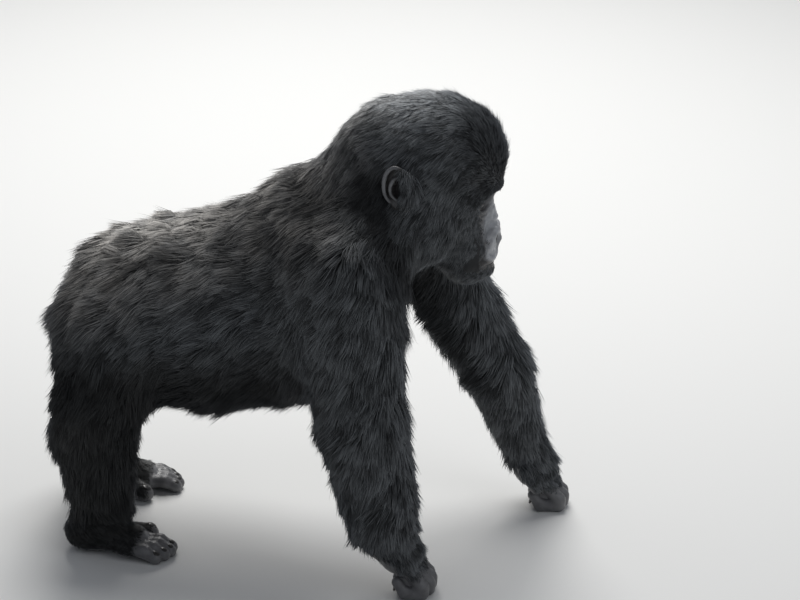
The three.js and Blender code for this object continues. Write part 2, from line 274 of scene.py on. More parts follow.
def head_skin(q):
    """The head's skin under its coat, with no features."""
    depth = HEAD_DEPTH * coat_share(q)
    return blend(12, crown_field(q) + depth, mask_field(q) + depth * 0.8)


LID_RADIUS = 13.6
OPEN_ACROSS, OPEN_UP = math.radians(47), math.radians(25)  # half of the opening between the lids
OPEN_TURN, OPEN_DROP, OPEN_SLANT = math.radians(10), math.radians(3), 0.12


def eye_opening(q, side):
    """Below zero where the lids part, as a slanted almond seen from the eyeball's middle."""
    r = mirrored(q, side) - EYE_AT
    sideways = np.arctan2(r[:, 1], r[:, 0]) - OPEN_TURN
    upward = np.arctan2(r[:, 2], np.hypot(r[:, 0], r[:, 1])) + OPEN_DROP
    upward = upward - OPEN_SLANT * sideways
    across = np.abs(sideways) / OPEN_ACROSS
    reach = np.sqrt(across ** 2 + (upward / (OPEN_UP * np.maximum(1 - 0.4 * across ** 2, 0.2))) ** 2)
    return np.where(r[:, 0] > 0, EYE_RADIUS * 0.45 * (reach - 1), 9.0)


NOSE_WING = curved([(98, 3.5, -76), (97, 10, -73), (93, 18, -74.5), (87.5, 23.5, -81), (87, 21, -90),
                    (91, 12, -95)], [3.8, 4.8, 5.4, 5.4, 4.6, 3.2])
LIP_LINE = curved([(97, 0, -113), (93, 14, -112.5), (83, 27, -110), (69, 36, -105)], [1.7, 1.7, 1.5, 0.9])


def nostril_path(q, side):
    """A nostril, which runs up and back from under the tip of the nose."""
    return path(mirrored(q, side), [(105, 10, -89), (100, 14, -83.5), (92, 15.5, -79), (84, 12, -76)],
                [3.6, 6.0, 5.6, 3.4])


def face_detail(q):
    """The bare face: sockets and lids, nose and nostrils, and lips."""
    sockets = [egg(mirrored(q, s), (96, 29, -31), (25, 19, 14)) for s in SIDES]
    skin = carve(5, head_skin(q), *sockets)
    lids = [carve(1.0, egg(mirrored(q, s), EYE_AT, (LID_RADIUS,) * 3), eye_opening(q, s)) for s in SIDES]
    skin = blend(2.5, skin, *lids)
    nose = blend(
        6, egg(q, (88, 0, -77), (12, 10, 11)),
        *[egg(mirrored(q, s), (84, 14, -83), (15, 13, 12)) for s in SIDES])
    wings = [path(mirrored(q, s), *NOSE_WING) for s in SIDES]
    septum = path(q, [(98, 0, -77), (100.5, 0, -87), (95, 0, -98)], [3.4, 3.4, 4.8])
    skin = blend(3, blend(6, skin, nose), septum, *wings)
    upper_lip, lower_lip = egg(q, (79, 0, -105), (20, 32, 11.5)), egg(q, (75.5, 0, -124), (19, 28, 9))
    skin = blend(5, skin, upper_lip, lower_lip)
    skin = carve(2, skin, *[nostril_path(q, s) for s in SIDES])
    return carve(1.2, skin, path(both_sides(q), *LIP_LINE))


EAR_RIM = curved([(8, 3, 6), (11, 4, 15), (6, 5, 22.5), (-3, 6, 24.5), (-11, 7, 17), (-14.5, 7.5, 5),
                  (-13.5, 7, -9), (-8, 5.5, -18)], [1.4, 1.9, 2.2, 2.4, 2.4, 2.4, 2.2, 2.0], 3)
EAR_FOLD = curved([(4, 4.5, 14), (-3, 6, 9), (-6.5, 6.8, 0), (-5, 6.4, -9), (1, 5.5, -14)],
                  [1.6, 2.2, 2.4, 2.3, 2.2], 3)
EAR_GROOVE = curved([(3, 7.5, 19), (-6, 8.5, 13.5), (-10.5, 9.5, 3), (-9.5, 9, -9)], [2.6, 3, 3.2, 2.6], 3)


def to_ear(q, side):
    """Points of the head in an ear's frame: forward, outward and up."""
    return mirrored(turned(q, EAR_AT * (1, side, 1), side * EAR_SPLAY), side)


def ear_detail(q, side):
    """A small round ear: rolled rim, groove, inner fold, hollow, lobe and the flap before its opening."""
    e = to_ear(q, side)
    plate = blend(
        3, egg(e, (0, 2, 0), (14.5, 4.2, 24)),
        egg(e, (0, 3.5, -20.5), (7.5, 3.6, 7)),
        egg(e, (6, -6, -2), (13, 10, 20)))
    flap = egg(e, (10.5, 4.5, -6), (3.6, 3.4, 5.5))
    hollow = egg(e, (3.5, 7, -3), (7.5, 9, 9.5))
    pit = egg(e, (3, 6.5, 9.5), (5, 6, 4))
    cup = carve(1.6, plate, path(e, *EAR_GROOVE), pit)
    return carve(2.5, blend(1.8, cup, path(e, *EAR_RIM), path(e, *EAR_FOLD), flap), hollow)


FINGERS = ((-1.5, 20), (-0.5, 24), (0.5, 23), (1.5, 17))  # place across, in digit widths, and reach
TOES = ((-0.9, 88), (-0.1, 90), (0.7, 86), (1.5, 79))
DIGIT_WIDTH = 14.5
PALM_DEPTH, THUMB_DEPTH, DIGIT_DEPTH = 2.2, 0.4, 0.5  # how deep the skin lies in the solids


def joint_of(limb):
    return into(np.array([limb["joint"]], float), limb)[0]


def hand_detail(p, hand):
    """A hand resting on its knuckles. Fingers join it one by one, so the gaps between them stay sharp."""
    q, side = into(p, hand), hand["side"]
    palm = blend(
        14, taper(q, joint_of(hand), hand["girth"] * 0.86, (-14, 0, 52), 27),
        egg(q, (-8, 0, 46), (20, 32, 20)))
    thumb = taper(q, (-24, -side * 28, 58), 10, (-8, -side * 33, 34), 7)
    skin = blend(5, palm + PALM_DEPTH, thumb + THUMB_DEPTH)
    for place, reach in FINGERS:
        y = side * place * DIGIT_WIDTH
        finger = blend(
            4, taper(q, (-2, y * 0.9, 42), 9.6, (reach - 1, y, 17), 8.4),
            egg(q, (reach, y, 15), (9.4, 8.6, 9.2)),
            taper(q, (reach, y, 9 - PRESS), 9, (-3, y, 9 - PRESS), 8.4),
            taper(q, (-3, y, 9 - PRESS), 8.2, (-12, y, 21), 7.5))
        skin = blend(1.4, skin, finger + DIGIT_DEPTH)
    return skin


def foot_detail(p, foot):
    """A foot flat on its sole, with the big toe held out."""
    q, side = into(p, foot), foot["side"]
    sole = blend(
        16, taper(q, joint_of(foot), foot["girth"] * 0.92, (-4, 0, 32), 29),
        egg(q, (-18, 0, 22 - PRESS), (25, 23, 22)),
        taper(q, (0, 0, 28), 23, (42, 0, 18 - PRESS), 18),
        egg(q, (46, 0, 14 - PRESS), (24, 31, 14)))
    big_toe = taper(q, (8, -side * 18, 16), 14, (52, -side * 40, 11 - PRESS), 11)
    skin = blend(5, sole + PALM_DEPTH, big_toe + THUMB_DEPTH)
    for place, reach in TOES:
        y = side * place * DIGIT_WIDTH
        toe = blend(
            4, taper(q, (54, y * 0.9, 14), 9.5, (reach - 14, y, 14), 8.4),
            taper(q, (reach - 14, y, 14), 8.4, (reach, y, 8.5 - PRESS), 8.5))
        skin = blend(1.4, skin, toe + DIGIT_DEPTH)
    return skin


# ---------------- mesh topology in arrays


def read(items, name, width, kind=np.int32):
    """One property of every item of a mesh, in rows."""
    values = np.empty(len(items) * width, kind)
    items.foreach_get(name, values)
    return values.reshape(-1, width)


class Shape:
    """A mesh as arrays: corner places and faces, with the sums that smoothing needs."""

    def __init__(self, mesh):
        self.count = len(mesh.vertices)
        self.p = to_body(read(mesh.vertices, "co", 3, np.float32).astype(float))
        ends = read(mesh.edges, "vertices", 2)
        self.a = np.concatenate((ends[:, 0], ends[:, 1]))
        self.b = np.concatenate((ends[:, 1], ends[:, 0]))
        self.share = 1 / np.maximum(np.bincount(self.a, minlength=self.count), 1)
        mesh.calc_loop_triangles()
        self.tris = read(mesh.loop_triangles, "vertices", 3)

    def around(self, values):
        """The mean of each corner's neighbours."""
        flat = values.reshape(self.count, -1)
        sums = [np.bincount(self.a, flat[self.b, i], self.count) * self.share for i in range(flat.shape[1])]
        return np.stack(sums, axis=1).reshape(values.shape)

    def eased(self, values, rounds, strength=0.6):
        for _ in range(rounds):
            values = values + strength * (self.around(values) - values)
        return values

    def normals(self):
        a, b, c = (self.p[self.tris[:, i]] for i in range(3))
        face = np.cross(b - a, c - a)
        out = np.zeros_like(self.p)
        for i in range(3):
            for axis in range(3):
                out[:, axis] += np.bincount(self.tris[:, i], face[:, axis], self.count)
        return unit(out)

    def store(self, mesh):
        mesh.vertices.foreach_set("co", to_metres(self.p).astype(np.float32).ravel())
        mesh.update()


def onto(field, p, rounds=10, step=1.6):
    """Moves points onto the surface of a field."""
    p = p.copy()
    h = 0.2
    for _ in range(rounds):
        here = field(p)
        slope = np.stack([(field(p + h * axis) - here) / h for axis in np.eye(3)], axis=1)
        move = -here / np.maximum((slope * slope).sum(axis=1), 0.15)
        p += np.clip(move, -step, step)[:, None] * slope
    return p


def waves(p, size, seed, count=7):
    """A smooth pattern between about -1 and 1 whose bumps are about the size given."""
    gen = np.random.default_rng(seed)
    ways = unit(gen.normal(size=(count, 3))) * gen.uniform(0.7, 1.4, (count, 1)) * (math.tau / (2 * size))
    phases = gen.uniform(0, math.tau, count)
    return np.sin(p @ ways.T + phases).sum(axis=1) / math.sqrt(count)


BLOCK = 4  # cells a side of a block, and blocks far from the surface are skipped


def net(field, low, high, cell):
    """The mesh of a field's surface in a box, as corners and four-sided faces."""
    low = np.asarray(low, float)
    blocks = np.ceil((np.asarray(high, float) - low) / cell / BLOCK).astype(int)

    def lattice(counts):
        return np.stack(np.meshgrid(*[np.arange(k) for k in counts], indexing="ij"), axis=-1)

    middles = (lattice(blocks) * BLOCK + (BLOCK - 1) / 2) * cell + low
    d = field(middles.reshape(-1, 3)).reshape(blocks)
    for axis in range(3):
        d = d.repeat(BLOCK, axis)
    steps = lattice(blocks * BLOCK)
    close = np.abs(d) < BLOCK * cell * 1.3 + 2
    d[close] = field(steps[close] * cell + low)
    inside = d < 0
    cells = tuple(blocks * BLOCK - 1)

    def corner(values, i, j, k):
        return values[i:i + cells[0], j:j + cells[1], k:k + cells[2]]

    total = sum(corner(inside, i, j, k).astype(int) for i in (0, 1) for j in (0, 1) for k in (0, 1))
    active = (total > 0) & (total < 8)
    index = np.full(cells, -1)
    index[active] = np.arange(active.sum())
    place, count = np.zeros((*cells, 3)), np.zeros(cells)
    faces = []
    ways = np.eye(3, dtype=int)
    for axis in range(3):
        one, two = np.delete(ways, axis, axis=0)
        for i, j in ((0, 0), (0, 1), (1, 0), (1, 1)):
            start = i * one + j * two
            a, b = corner(d, *start), corner(d, *(start + ways[axis]))
            crosses = (a < 0) != (b < 0)
            spot = np.broadcast_to(start.astype(float), (*cells, 3)).copy()
            spot[..., axis] += np.where(crosses, a / np.where(crosses, a - b, 1), 0)
            place += spot * crosses[..., None]
            count += crosses
        near_end, far_end = [slice(1, -1)] * 3, [slice(1, -1)] * 3
        near_end[axis], far_end[axis] = slice(0, -1), slice(1, None)
        a, b = inside[tuple(near_end)], inside[tuple(far_end)]
        for flips, order in ((a & ~b, (0, 1, 3, 2)), (~a & b, (0, 2, 3, 1))):
            at = np.argwhere(flips) + 1 - ways[axis]
            ring = [index[tuple((at + i * one + j * two).T)] for i, j in ((-1, -1), (0, -1), (-1, 0), (0, 0))]
            turn = order[::-1] if axis == 1 else order
            faces.append(np.stack([ring[k] for k in turn], axis=1))
    spots = steps[:-1, :-1, :-1][active] + place[active] / count[active][:, None]
    return spots * cell + low, np.concatenate(faces)


# ---------------- the skin

FLESH = [name for name in sorted(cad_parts) if not name.startswith("eye_")]
OVERLAP = 0.0006  # in metres: each solid grows by this, so that the skin has no gap between two of them


def joined_solids():
    """One soup of all the flesh's triangles, with the node that each comes from."""
    corners, faces, owners = [], [], []
    for number, name in enumerate(FLESH):
        if name.startswith("ear_"):
            continue
        bm = bmesh.new()
        bm.from_mesh(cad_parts[name].data)
        bmesh.ops.remove_doubles(bm, verts=bm.verts, dist=1e-6)
        bm.normal_update()
        first = len(corners)
        corners += [(v.co + v.normal * OVERLAP)[:] for v in bm.verts]
        faces += [tuple(first + v.index for v in face.verts) for face in bm.faces]
        owners += [number] * len(bm.faces)
        bm.free()
    return corners, faces, owners


corners, faces, owners = joined_solids()
soup = bpy.data.meshes.new("soup")
soup.from_pydata(corners, [], faces)
skin = placed("skin", soup)
remesh = skin.modifiers.new("remesh", "REMESH")
remesh.mode = "VOXEL"
remesh.voxel_size = VOXEL / 1000
skin.data = bpy.data.meshes.new_from_object(skin.evaluated_get(bpy.context.evaluated_depsgraph_get()))
skin.modifiers.clear()
bpy.data.meshes.remove(soup)
owner_tree = BVHTree.FromPolygons(corners, faces)
shape = Shape(skin.data)
region = np.array([owners[owner_tree.find_nearest(Vector(place))[2]] for place in to_metres(shape.p)])


def region_is(*starts):
    chosen = [i for i, name in enumerate(FLESH) if name.startswith(starts)]
    return np.isin(region, chosen)


def per_region(table, default):
    """A value for each corner from a table of name starts, in the order given."""
    by_node = [next((v for start, v in table.items() if name.startswith(start)), default) for name in FLESH]
    return np.array(by_node, float)[region]


# how deep the skin lies under the tips of the coat, by the start of a solid's name
DEPTH = {"head": HEAD_DEPTH, "face": HEAD_DEPTH, "lower_jaw": HEAD_DEPTH, "neck": 14, "chest": 13,
         "belly": 13, "pelvis": 14, "upper_arm": 12, "forearm": 10, "thigh": 12, "shin": 10, "hand": 1.5,
         "foot": 1.5}
STEPS, NAPE_ROUNDS = 8, 160  # of shrinking the body to its skin, and of smoothing the nape
depth = shape.eased(per_region(DEPTH, 0), 14)
q = to_head(shape.p)
depth = np.where(region_is(*HEAD_NODES), depth * coat_share(q), depth)
for _ in range(STEPS):
    shape.p -= shape.normals() * depth[:, None] / STEPS
    soft = shape.eased(shape.p, 3)
    shape.p += (soft - shape.p) * fade(0.5, 4, depth)[:, None]

# the nape runs from the crown to the back with no hollow between
joint = shape.eased(region_is("head").astype(float), 150, 0.9)
joint = fade(0.02, 0.2, joint * (1 - joint)) * fade(30, -30, q[:, 0])
for _ in range(NAPE_ROUNDS):
    shape.p += 0.7 * (shape.around(shape.p) - shape.p) * joint[:, None]
shape.store(skin.data)

# the unwrap that every tuft takes its own place from
MAP_SHARE = 0.8  # the body's unwrap fills this much of the map, and the finer parts have the strip beside it
bpy.context.view_layer.objects.active = skin
skin.select_set(True)
skin.data.uv_layers.new(name="OFBake")
bpy.ops.object.mode_set(mode="EDIT")
bpy.ops.mesh.select_all(action="SELECT")
bpy.ops.uv.smart_project(angle_limit=math.radians(66), island_margin=0.002)
bpy.ops.object.mode_set(mode="OBJECT")
body_map = skin.data.uv_layers["OFBake"].data
body_map.foreach_set("uv", (read(body_map, "uv", 2, np.float32) * MAP_SHARE).ravel())


def fitted(chosen, field, ease):
    """Brings part of the skin onto a field, fading out over the edge of that part."""
    weight = shape.eased(chosen.astype(float), ease) * chosen
    weight = fade(0.5, 0.95, weight)
    picked = np.flatnonzero(weight > 0)
    share = weight[picked][:, None]
    for rounds in (3, 2, 4):
        target = onto(field, shape.p[picked], rounds)
        shape.p[picked] += (target - shape.p[picked]) * share
        if rounds != 4:
            normal = shape.normals()
            slide = shape.around(shape.p) - shape.p
            slide -= (slide * normal).sum(axis=1, keepdims=True) * normal
            shape.p[picked] += 0.6 * slide[picked] * share


# under each finer part the skin sinks, and the part dives under the skin at its own edge
FACE_SINK, LIMB_SINK, DIVE = 18, 5, 5
fitted(region_is(*HEAD_NODES) & (to_head(shape.p)[:, 0] > 15),
       lambda p: head_skin(to_head(p)) + FACE_SINK * fade(4, -8, from_mask(to_head(p))), 6)
for limb in (*HANDS, *FEET):
    detail, edge = (hand_detail, (62, 46)) if limb in HANDS else (foot_detail, (56, 42))
    fitted(region_is(limb["node"]), lambda p: detail(p, limb) + LIMB_SINK * fade(*edge, p[:, 2]), 4)
shape.p[:, 2] = np.maximum(shape.p[:, 2], 0)
shape.store(skin.data)

# the strip of the map for the finer parts: a row for each, with a place for its near side and its far side
ROWS = {"face": (0.01, 0.21), "ear_R": (0.23, 0.31), "ear_L": (0.32, 0.40), "hand_R": (0.42, 0.51),
        "hand_L": (0.52, 0.61), "foot_R": (0.63, 0.80), "foot_L": (0.82, 0.99)}
WHOLE_ROW, HALF_ROWS = (0.82, 0.99), ((0.82, 0.90), (0.91, 0.99))
finer_parts = []


def add_part(node, field, low, high, cell, place, flatten, keep=None):
    """Meshes a field of its own frame: place puts points on the body, flatten spreads them on the map."""
    corners, faces = net(field, low, high, cell)
    if keep is not None:
        faces = faces[keep(corners)[faces].all(axis=1)]
        used, faces = np.unique(faces, return_inverse=True)
        corners, faces = corners[used], faces.reshape(-1, 4)
    corners = onto(field, corners, 2, 0.3)
    flat, side = flatten(corners)
    flat = (flat - flat.min(axis=0)) / np.ptp(flat, axis=0)
    first, second, third = (corners[faces[:, i]] for i in range(3))
    across = np.cross(second - first, third - first)
    finer_parts.append((node, place(corners), faces, flat, (across * side).sum(axis=1) < 0))


def face_flat(q):
    """The face unrolled about an upright line inside the head."""
    return np.stack((np.arctan2(q[:, 1], q[:, 0] - 30), q[:, 2]), axis=1), (1, 0, 0)


add_part("face", lambda q: face_detail(q) + DIVE * fade(6, 14, from_mask(q)),
         (38, -60, -148), (112, 60, 10), 1.0, from_head, face_flat, lambda q: from_mask(q) < 14)
for letter, side in (("R", -1), ("L", 1)):
    middle, reach = EAR_AT * (1, side, 1), np.array((24, 18, 34))
    add_part(f"ear_{letter}", lambda q: ear_detail(q, side), middle - reach, middle + reach, 1.1,
             from_head, lambda q: (q[:, [0, 2]], (0, side, 0)))
for hand in HANDS:
    add_part(hand["node"], lambda h: hand_detail(out_of(h, hand), hand) + DIVE * fade(50, 62, h[:, 2]),
             (-60, -50, -3), (50, 50, 66), 1.75, lambda h: out_of(h, hand),
             lambda h: (h[:, :2], (0, 0, 1)), lambda h: h[:, 2] < 63)
for foot in FEET:
    add_part(foot["node"], lambda h: foot_detail(out_of(h, foot), foot) + DIVE * fade(42, 54, h[:, 2]),
             (-50, -62, -3), (106, 62, 60), 1.95, lambda h: out_of(h, foot),
             lambda h: (h[:, 1::-1], (0, 0, 1)), lambda h: h[:, 2] < 55)

bm = bmesh.new()
bm.from_mesh(skin.data)
layer = bm.loops.layers.uv["OFBake"]
main_count = shape.count
for node, places, faces, flat, far_sides in finer_parts:
    made = [bm.verts.new(place) for place in to_metres(places)]
    region = np.concatenate((region, np.full(len(made), FLESH.index(node))))
    low_y, high_y = ROWS[node]
    for face, far_side in zip(faces, far_sides):
        new = bm.faces.new([made[i] for i in face])
        low_x, high_x = WHOLE_ROW if node == "face" else HALF_ROWS[int(far_side)]
        for loop, i in zip(new.loops, face):
            loop[layer].uv = (low_x + flat[i, 0] * (high_x - low_x), low_y + flat[i, 1] * (high_y - low_y))
bm.to_mesh(skin.data)
bm.free()
shape = Shape(skin.data)
on_part = np.arange(shape.count) >= main_count

# creases of the face: a line sideways and up, how deep, and how wide
CREASES = (
    (((0, -64), (9, -63), (19, -65), (27, -73), (31, -83), (29, -93), (22, -101)), 1.5, 2.2),
    (((30, -86), (33, -96), (36, -106), (40, -118)), 1.1, 2.0),
    (((13, -46), (17, -54), (21, -63)), 0.8, 1.5),
    (((19, -50), (24, -58), (28, -68)), 0.7, 1.4),
    (((7, -50), (10, -57)), 0.6, 1.5),
    (((25, -78), (25, -88), (20, -95)), 0.9, 1.3),
    (((14, -40), (22, -43), (32, -41), (40, -34)), 0.7, 1.0),
    (((12, -45), (22, -50), (33, -48), (41, -41)), 0.8, 1.3),
    (((14, -53), (24, -58), (34, -54)), 0.6, 1.5),
    (((15, -19), (26, -16.5), (37, -20)), 0.7, 1.0),
    (((0, -36), (6, -37), (11, -40)), 0.5, 1.1),
    (((0, -43), (7, -44), (12, -48)), 0.45, 1.1),
    (((0, -51), (7, -53), (11, -58)), 0.35, 1.2),
    (((30, -84), (31, -92), (34, -99)), 0.5, 1.0),
    (((34, -82), (36, -92), (39, -101)), 0.4, 1.1),
    (((0, -93), (0, -101)), 0.5, 1.4),
    (((8, -97), (9, -104)), 0.25, 0.8),
    (((15, -98), (17, -106)), 0.3, 0.8),
    (((23, -100), (26, -107)), 0.3, 0.8),
    (((0, -131), (14, -130), (25, -126)), 0.7, 1.8),
)
# wrinkles over the joints: heights on the fingers' fronts, and places along the tops of the toes
FINGER_WRINKLES = (18.5, 22, 25.5, 29, 45, 49.5)
TOE_WRINKLES = (60, 64, 68, 80, 83.5)
LENGTHWISE, UPRIGHT = 0, 2  # parts of a place or direction

q = to_head(shape.p)
normal = shape.normals()
facing = fade(0.15, 0.5, (normal @ HEAD_AXES.T)[:, 0]) * on_part * region_is("face")
across_face = both_sides(q)[:, 1:]
creased = np.zeros(shape.count)
for line, deep, wide in CREASES:
    away = off_line(across_face, line)
    groove = bell(away, wide) - 0.35 * bell(away - 2.2 * wide, wide)
    shape.p -= normal * (groove * deep * facing)[:, None]
    creased = np.maximum(creased, deep * facing * bell(away, wide))


def wrinkle(limb, places, along, outward, deep, wide):
    """Presses wavy lines across the digits of a hand or foot, where they face outward."""
    h = into(shape.p, limb)
    facing = on_part * region_is(limb["node"]) * fade(0.1, 0.6, normal[:, outward])
    for place in places:
        away = h[:, along] - place - 0.7 * np.sin(0.8 * h[:, 1])
        shape.p -= normal * (deep * facing * bell(away, wide))[:, None]


for hand in HANDS:
    wrinkle(hand, FINGER_WRINKLES, UPRIGHT, LENGTHWISE, 0.55, 1.1)
for foot in FEET:
    wrinkle(foot, TOE_WRINKLES, LENGTHWISE, UPRIGHT, 0.5, 1.2)

shape.p[:, 2] = np.maximum(shape.p[:, 2], 0)
shape.store(skin.data)
skin.data.shade_smooth()

# ---------------- the coat's lie and length

# by the start of a solid's name: the way the coat lies, and its tufts' length, thickness, lift in degrees,
# gathering into locks, and crowding
FLOWS = {"neck": (-1, 0, -0.7), "chest": (-1, 0, -0.25), "belly": (-1, 0, -0.45), "pelvis": (-0.8, 0, -0.75),
         "upper_arm": (-0.55, 0, -0.9), "forearm": (-0.35, 0, -1), "hand": (0.35, 0, -1),
         "thigh": (-0.4, 0, -1), "shin": (-0.2, 0, -1), "foot": (0.8, 0, -0.5)}
LENGTH = {"head": 22, "neck": 33, "chest": 31, "belly": 33, "pelvis": 34, "upper_arm": 31, "forearm": 27,
          "thigh": 30, "shin": 27, "hand": 16, "foot": 16, "face": 22, "lower_jaw": 22, "ear": 3}
THICK = {"head": 1.3, "face": 0.9, "lower_jaw": 0.9, "hand": 1.1, "foot": 1.1, "ear": 0.8}
LIFT = {"head": 30, "neck": 32, "pelvis": 40, "forearm": 36, "shin": 36}
CLUMP = {"head": 0.55, "face": 0.3, "lower_jaw": 0.4, "neck": 0.8, "pelvis": 1.15}
CROWD = {"head": 1.7, "face": 2.2, "lower_jaw": 2.4, "hand": 1.6, "foot": 1.6, "ear": 0.5}
# painted sheen on the face where a line's gain is above zero, and painted shade in the mouth where it is
# below
PAINTED_LIGHT_LINES = (  # lines sideways and up on the face, how much paler the skin is there, and how wide
    (((5, -48), (9, -62), (15, -84)), 0.95, 11),
    (((0, -22), (9, -23)), 0.3, 7),
    (((10, -60), (22, -80), (20, -98)), 0.75, 11),
    (((0, -102), (18, -102), (28, -100)), 0.36, 9),
    (((17, -20), (29, -16), (40, -22)), 0.45, 4),
    (((0, -114), (26, -112), (36, -107)), -0.7, 5),
    (((0, -120), (26, -118), (36, -114)), -0.4, 6),
)
STUBBLE = 3.5  # the length of the head's coat at the edge of the mask

q = to_head(shape.p)
normal = shape.normals()
height = shape.p[:, 2]
head_like = region_is(*HEAD_NODES, "ear")
off_mask = np.where(head_like, from_mask(q), 99)


def over_skin(v):
    """Directions laid flat on the skin."""
    return v - (v * normal).sum(axis=1, keepdims=True) * normal


# back over the crown, down and back over the sides, and up and back from the brow
falls = -0.35 - 0.85 * fade(70, 0, q[:, 2]) - 0.5 * fade(0, -60, q[:, 2]) * fade(-10, 50, q[:, 0])
falls += 2.6 * fade(48, 80, q[:, 0]) * fade(-24, 6, q[:, 2])
sweep = np.stack((-np.ones(len(q)), 0.25 * np.sign(q[:, 1]), falls), axis=1) @ HEAD_AXES
flow = per_region(FLOWS, (-1, 0, 0))
flow[head_like] = sweep[head_like]
flow = unit(over_skin(shape.eased(unit(over_skin(flow)), 24)))

length_at = shape.eased(per_region(LENGTH, 30), 12)
thick_at = shape.eased(per_region(THICK, 1.75), 8)
lift_at = shape.eased(per_region(LIFT, 33), 12)
clump_at = shape.eased(per_region(CLUMP, 1.0), 12)
crowd_at = shape.eased(per_region(CROWD, 1.0), 6)

# the head's coat is short and fine round the mask, and deep at the nape
length_at = np.where(head_like, STUBBLE + (length_at - STUBBLE) * fade(-12, 38, off_mask), length_at)
nape = bell(length(q - (-98, 0, 4)), 40)
length_at += 11 * nape
lift_at += 6 * nape
lift_at = np.where(head_like, lift_at - 12 * fade(30, 0, off_mask), lift_at)
thick_at = np.where(head_like, 1.35 * (0.5 + 0.5 * fade(0, 40, off_mask)), thick_at)
crowd_at = np.where(head_like, 1.7 + 1.8 * fade(30, 0, off_mask), crowd_at)
overlap = np.where(on_part, fade(11, 8, off_mask), fade(4, 9, off_mask))
crowd_at *= np.where(head_like, overlap, 1)
# it shortens down the hands and feet, and leaves each finer part a little before that part's edge
for kind, low, high, edge in (("hand", 26, 70, 54), ("foot", 14, 60, 46)):
    own = region_is(kind)
    length_at = np.where(own, 6 + 14 * fade(low, high, height), length_at)
    overlap = np.where(on_part, fade(edge + 4, edge, height), fade(edge - 4, edge + 2, height))
    crowd_at *= np.where(own, overlap, 1)

# bare places: the mask, the ears, the knuckles and fingers, the soles and toes
beside_ear = both_sides(q) - EAR_AT
under_ear = length((beside_ear + (6, 0, 0)) / (13, 40, 21)) - 1
bare = fade(5, -7, off_mask)
bare = np.maximum(bare, np.where(region_is("ear"), 1.0, head_like * fade(0.1, -0.1, under_ear)))
for hand in HANDS:
    h, own = into(shape.p, hand), region_is(hand["node"])
    front = fade(0.1, -0.5, normal @ (1, 0, 0.3))
    bare = np.maximum(bare, own * np.maximum(fade(38, 26, h[:, 2]), front))
for foot in FEET:
    h, own = into(shape.p, foot), region_is(foot["node"])
    bare = np.maximum(bare, own * np.maximum(fade(46, 58, h[:, 0]), fade(12, 6, h[:, 2])))

# how light the bare skin is: its own grey, lightened by painted sheen on the nose, upper lip and lids, and
# darkened by painted shade in the mouth, nostrils and creases
tone_and_painted_light = np.full(shape.count, 0.4)
across_face = both_sides(q)[:, 1:]
for line, gain, wide in PAINTED_LIGHT_LINES:
    tone_and_painted_light += gain * bell(off_line(across_face, line), wide) * head_like * (q[:, 0] > 50)
# painted shade in the creases and the nostrils
tone_and_painted_light -= 0.35 * creased
tone_and_painted_light -= 1.2 * fade(4.0, 0.6, np.minimum(nostril_path(q, 1), nostril_path(q, -1))) * head_like
tone_and_painted_light -= 0.5 * fade(-11, 3, off_mask) * head_like
# painted shade in the eye sockets under the brow
tone_and_painted_light -= 0.6 * bell(length((across_face - (29, -28)) / (19, 13)), 1) * head_like
# the ears: painted highlight on their rims and painted shade in their hollows, with hair on their fronts
for side in SIDES:
    e = to_ear(q, side)
    own = region_is("ear") & (q[:, 1] * side > 0)
    hairy = fade(2, 8, e[:, 0]) * fade(-24, -16, e[:, 2])
    tone_and_painted_light[own] = (0.03 + 0.50 * fade(4.5, 9.0, e[:, 1]) * (1 - hairy))[own]
    bare[own] = 1 - hairy[own]
    length_at[own] = (11 + 9 * fade(4, 13, e[:, 0]))[own]
    crowd_at[own], thick_at[own] = 1.6, 0.9

# painted light and shade in the coat's colour: painted top light where the coat faces the sky, on the back
# and the crown, and painted shade on the forehead, behind the ears, on the neck's sides, in the valley
# between head and shoulders, and over the shoulders
soft_normal = unit(shape.eased(normal, 16))
skyward = fade(0.72, 1.0, soft_normal[:, 2]) * (1 - bare)
on_head = shape.eased(head_like.astype(float), 10)
neckness = shape.eased(region_is("neck").astype(float), 16)
forward = fade(0.2, 0.6, shape.p[:, 0] / 400)
painted_light = 1 + 0.75 * skyward * (1 - 0.8 * neckness) * (1 - forward * (1 - on_head))
painted_light -= 0.6 * on_head * fade(30, 92, q[:, 0]) * fade(-40, -5, q[:, 2])
painted_light -= 0.5 * on_head * bell(length((beside_ear + (20, 0, 4)) / (20, 60, 30)), 1)
painted_light -= 0.62 * neckness * fade(0.1, 0.7, np.abs(soft_normal[:, 1]))
valley = bell(off_line(q[:, [0, 2]], ((-48, 8), (-36, -40), (-16, -100), (0, -165))), 22)
painted_light -= 0.75 * valley * fade(25, 60, np.abs(q[:, 1]))
from_shoulder = length(both_sides(shape.p) - (278, 90, 434))
painted_light -= 0.4 * bell(from_shoulder, 60) * (1 - on_head)
painted_light = np.clip(painted_light, 0.2, 2)

crowd_at *= np.where(head_like & ~region_is("ear"), fade(-13, 0, off_mask), 1)
crowd_at *= np.where(off_mask < 8, 1, np.clip(1 - bare, 0, 1))
crowd_at[crowd_at < 0.04] = 0


